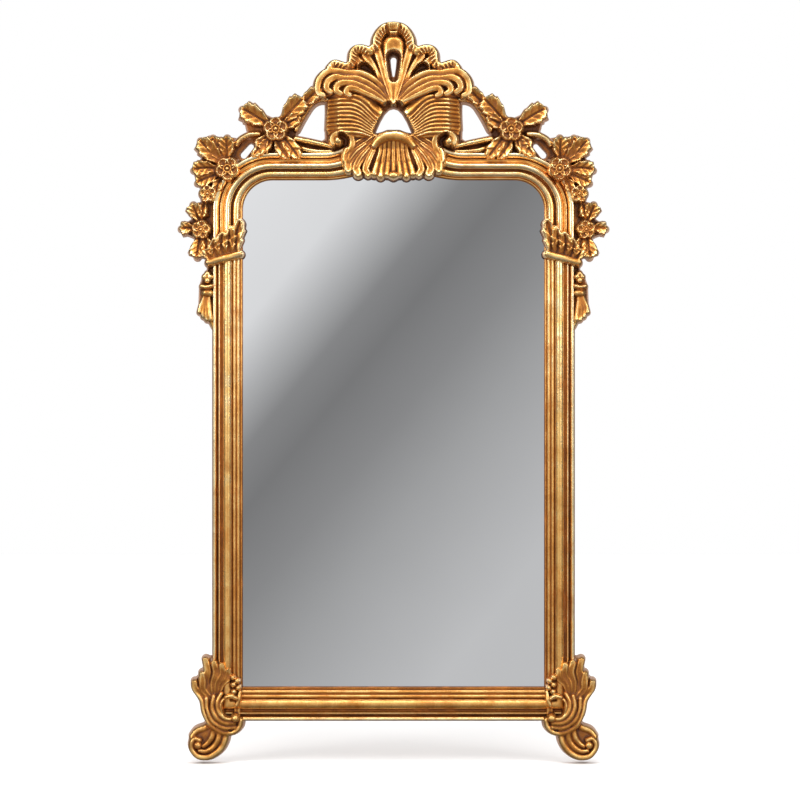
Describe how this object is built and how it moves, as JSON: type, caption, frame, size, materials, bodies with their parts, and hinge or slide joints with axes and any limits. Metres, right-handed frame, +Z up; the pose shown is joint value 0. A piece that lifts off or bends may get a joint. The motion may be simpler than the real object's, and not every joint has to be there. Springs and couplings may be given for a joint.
{
  "type": "ornate wall mirror",
  "caption": "Tall wall mirror in a carved and gilded frame with an arched top, a pierced shell crest, flower sprays, leafy capitals, corner scrolls and scrolled feet.",
  "frame": {"origin": "the point on the flat back of the frame that hangs on the wall, in the middle of the top rail just above the glass", "axes": "+Z up, -Y out of the wall towards the viewer, +X to the viewer's right"},
  "size_m": [0.6983, 0.0474, 1.1983],
  "materials": {
    "antique_gold": "satin",
    "mirror_silver": "polished",
    "fibreboard": "matte"
  },
  "bodies": {
    "root": {"frame": "antique_gold", "mirror_glass": "mirror_silver", "backing_board": "fibreboard"}
  },
  "joints": []
}
